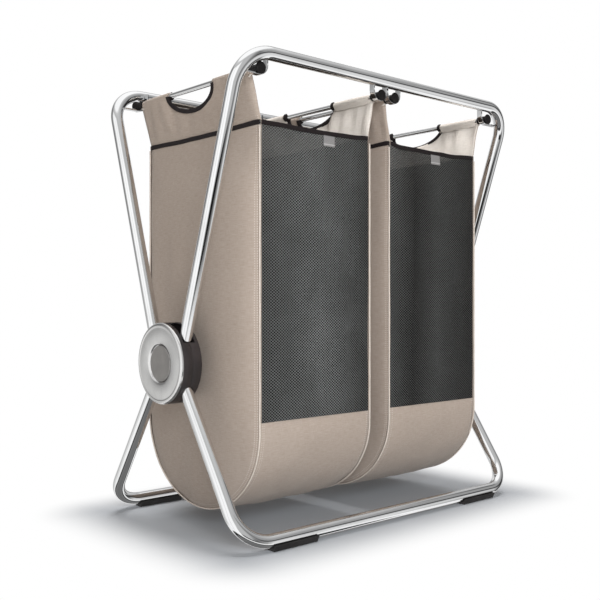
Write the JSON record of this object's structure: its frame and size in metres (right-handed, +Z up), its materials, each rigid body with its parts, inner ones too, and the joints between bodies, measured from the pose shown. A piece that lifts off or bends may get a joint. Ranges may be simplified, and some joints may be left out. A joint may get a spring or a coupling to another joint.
{
  "type": "laundry hamper",
  "caption": "Folding X-frame laundry hamper of chromed tube, with fabric bags hung side by side on rods from hooks on its top rails.",
  "frame": {"origin": "on the floor under the middle of the hamper", "axes": "+X along the rails to the right, +Y to the back, +Z up; the mesh panels face -Y"},
  "size_m": [0.661, 0.3852, 0.7198],
  "materials": {
    "chrome": "bright chrome plating on steel tube, rods, hooks and hub covers",
    "hub_plastic": "moulded brown-black plastic, finely textured",
    "cap_plastic": "smooth matte grey plastic",
    "rod_cap_plastic": "black moulded plastic, slightly glossy",
    "rubber": "matte black rubber",
    "steel": "zinc-plated steel fasteners",
    "canvas": "plain woven polyester canvas in greige",
    "mesh": "fine knitted mesh in dark grey with small staggered holes",
    "tape": "black woven binding tape",
    "tag": "small bare grey woven tag"
  },
  "bodies": {
    "back_frame": {"back_upper_tube": "chrome", "front_lower_tube": "chrome", "left_hub_outer_shell": "hub_plastic", "left_hub_inner_shell": "hub_plastic", "left_hub_axle_bolt": "steel", "left_hub_axle_nut": "steel", "left_hub_front_screw": "steel", "left_hub_back_screw": "steel", "left_hub_chrome_ring": "chrome", "left_hub_centre_cap": "cap_plastic", "right_hub_outer_shell": "hub_plastic", "right_hub_inner_shell": "hub_plastic", "right_hub_axle_bolt": "steel", "right_hub_axle_nut": "steel", "right_hub_front_screw": "steel", "right_hub_back_screw": "steel", "right_hub_chrome_ring": "chrome", "right_hub_centre_cap": "cap_plastic", "back_left_hook": "chrome", "back_middle_hook": "chrome", "back_right_hook": "chrome", "front_left_foot": "rubber", "front_right_foot": "rubber"},
    "front_frame": {"front_upper_tube": "chrome", "back_lower_tube": "chrome", "left_hub_rotor": "hub_plastic", "right_hub_rotor": "hub_plastic", "front_left_hook": "chrome", "front_middle_hook": "chrome", "front_right_hook": "chrome", "back_left_foot": "rubber", "back_right_foot": "rubber"},
    "left_bag": {"left_bag_outer_rod": "chrome", "left_bag_outer_rod_front_cap": "rod_cap_plastic", "left_bag_outer_rod_back_cap": "rod_cap_plastic", "left_bag_inner_rod": "chrome", "left_bag_inner_rod_front_cap": "rod_cap_plastic", "left_bag_inner_rod_back_cap": "rod_cap_plastic", "left_bag_outer_panel": "canvas", "left_bag_inner_panel": "canvas", "left_bag_wrap_panel": "canvas", "left_bag_mesh_panel": "mesh", "left_bag_rim_binding": "tape", "left_bag_outer_hand_hole_binding": "tape", "left_bag_inner_hand_hole_binding": "tape", "left_bag_tag": "tag"},
    "right_bag": {"right_bag_outer_rod": "chrome", "right_bag_outer_rod_front_cap": "rod_cap_plastic", "right_bag_outer_rod_back_cap": "rod_cap_plastic", "right_bag_inner_rod": "chrome", "right_bag_inner_rod_front_cap": "rod_cap_plastic", "right_bag_inner_rod_back_cap": "rod_cap_plastic", "right_bag_outer_panel": "canvas", "right_bag_inner_panel": "canvas", "right_bag_wrap_panel": "canvas", "right_bag_mesh_panel": "mesh", "right_bag_rim_binding": "tape", "right_bag_outer_hand_hole_binding": "tape", "right_bag_inner_hand_hole_binding": "tape", "right_bag_tag": "tag"}
  },
  "joints": [
    {"name": "fold", "type": "hinge", "parent": "back_frame", "child": "front_frame", "pos_m": [0, 0, 0.261], "axis": [-1, 0, 0], "range_deg": [0, 36], "deforming": ["left_bag_outer_panel", "left_bag_inner_panel", "left_bag_wrap_panel", "left_bag_mesh_panel", "left_bag_rim_binding", "left_bag_outer_hand_hole_binding", "left_bag_inner_hand_hole_binding", "left_bag_tag", "right_bag_outer_panel", "right_bag_inner_panel", "right_bag_wrap_panel", "right_bag_mesh_panel", "right_bag_rim_binding", "right_bag_outer_hand_hole_binding", "right_bag_inner_hand_hole_binding", "right_bag_tag"]},
    {"name": "left_bag_tilt", "type": "hinge", "parent": "back_frame", "child": "left_bag", "pos_m": [-0.1417, 0.1672, 0.683], "axis": [-1, 0, 0], "range_deg": [0, 18]},
    {"name": "right_bag_tilt", "type": "hinge", "parent": "back_frame", "child": "right_bag", "pos_m": [0.1417, 0.1672, 0.683], "axis": [-1, 0, 0], "range_deg": [0, 18]}
  ],
  "couplings": [
    {"joint": "left_bag_tilt", "follows": "fold", "ratio": 0.5},
    {"joint": "right_bag_tilt", "follows": "fold", "ratio": 0.5}
  ]
}
